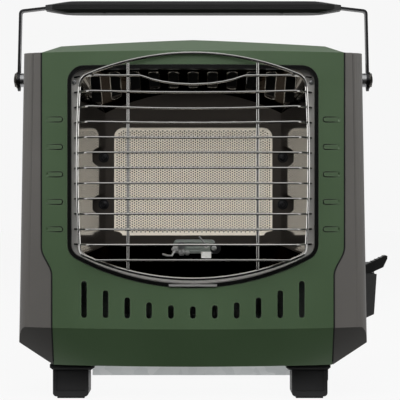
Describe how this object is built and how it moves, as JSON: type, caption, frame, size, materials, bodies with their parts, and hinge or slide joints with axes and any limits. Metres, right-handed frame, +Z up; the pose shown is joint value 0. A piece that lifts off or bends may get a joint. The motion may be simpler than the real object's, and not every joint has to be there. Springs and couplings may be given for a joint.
{
  "type": "portable gas heater",
  "caption": "Portable infrared gas heater with a plaque burner behind a wire guard, a carrying handle, a locking lever, a control knob and a rear cartridge door.",
  "frame": {"origin": "on the ground below the middle of the bounding box", "axes": "+Z up, the burner faces -Y, +X to the right as seen from the front"},
  "size_m": [0.3116, 0.1865, 0.3274],
  "materials": {
    "green_paint": "satin stoved enamel",
    "grey_cover": "fine matte",
    "black_plastic": "fine matte",
    "rubber": "matte",
    "galvanised": "galvanised sheet",
    "mirror_steel": "mirror polished",
    "steel": "plain",
    "bail_steel": "dark plated",
    "chrome_wire": "bright plated",
    "brass": "plain",
    "cast_aluminium": "as cast",
    "plaque_ceramic": "porous ceramic",
    "white_ceramic": "glazed ceramic",
    "fibre": "pressed fibre"
  },
  "bodies": {
    "housing": {"front_panel": "green_paint", "trim_ring": "black_plastic", "left_cover": "grey_cover", "right_cover": "grey_cover", "roof_panel": "green_paint", "rear_panel": "green_paint", "base_plate": "galvanised", "bay_shield": "galvanised", "cartridge_tray": "galvanised", "door_hinge_pin": "steel", "reflector": "mirror_steel", "burner_box": "steel", "plaque_gasket": "fibre", "ceramic_plaque": "plaque_ceramic", "mixing_tube": "steel", "jet_bracket": "galvanised", "jet_holder": "brass", "gas_pipe": "brass", "supply_pipe": "brass", "control_valve": "brass", "control_bezel": "black_plastic", "regulator": "cast_aluminium", "regulator_bracket": "galvanised", "cartridge_connector": "brass", "lever_pin": "steel", "slide_bracket": "galvanised", "pilot_bracket": "galvanised", "spark_electrode": "steel", "electrode_insulator": "white_ceramic", "thermocouple": "steel", "guard_frame": "chrome_wire", "guard_wires": "chrome_wire", "guard_uprights": "chrome_wire", "guard_clip": "chrome_wire", "pivot_bolts": "steel", "pivot_spacers": "steel", "front_feet": "black_plastic", "rear_feet": "black_plastic", "foot_pads": "rubber", "foot_screws": "steel", "rear_screws": "steel", "reflector_screws": "steel"},
    "bail": {"handle_bail": "bail_steel", "grip_upper": "black_plastic", "grip_lower": "black_plastic", "grip_screws": "steel"},
    "lever": {"lock_lever": "black_plastic"},
    "slide": {"lock_slide": "galvanised"},
    "knob": {"control_knob": "black_plastic", "valve_stem": "steel"},
    "door": {"cartridge_door": "black_plastic"}
  },
  "joints": [
    {"name": "bail_swing", "type": "hinge", "parent": "housing", "child": "bail", "pos_m": [-0.0048, 0.00175, 0.262], "axis": [1, 0, 0], "range_deg": [-44, 44]},
    {"name": "lever_swing", "type": "hinge", "parent": "housing", "child": "lever", "pos_m": [0.1197, -0.01825, 0.0947], "axis": [0, 1, 0], "range_deg": [0, 38]},
    {"name": "lock_travel", "type": "slide", "parent": "housing", "child": "slide", "axis": [1, 0, 0], "range_m": [0, 0.00785]},
    {"name": "knob_turn", "type": "hinge", "parent": "housing", "child": "knob", "pos_m": [0.12345, 0.03875, 0.0895], "axis": [1, 0, 0], "range_deg": [0, 90]},
    {"name": "door_swing", "type": "hinge", "parent": "housing", "child": "door", "pos_m": [-0.0048, 0.09015, 0.0921], "axis": [1, 0, 0], "range_deg": [0, 110]}
  ],
  "couplings": [
    {"joint": "lock_travel", "follows": "lever_swing", "m_per_rad": 0.011781}
  ]
}
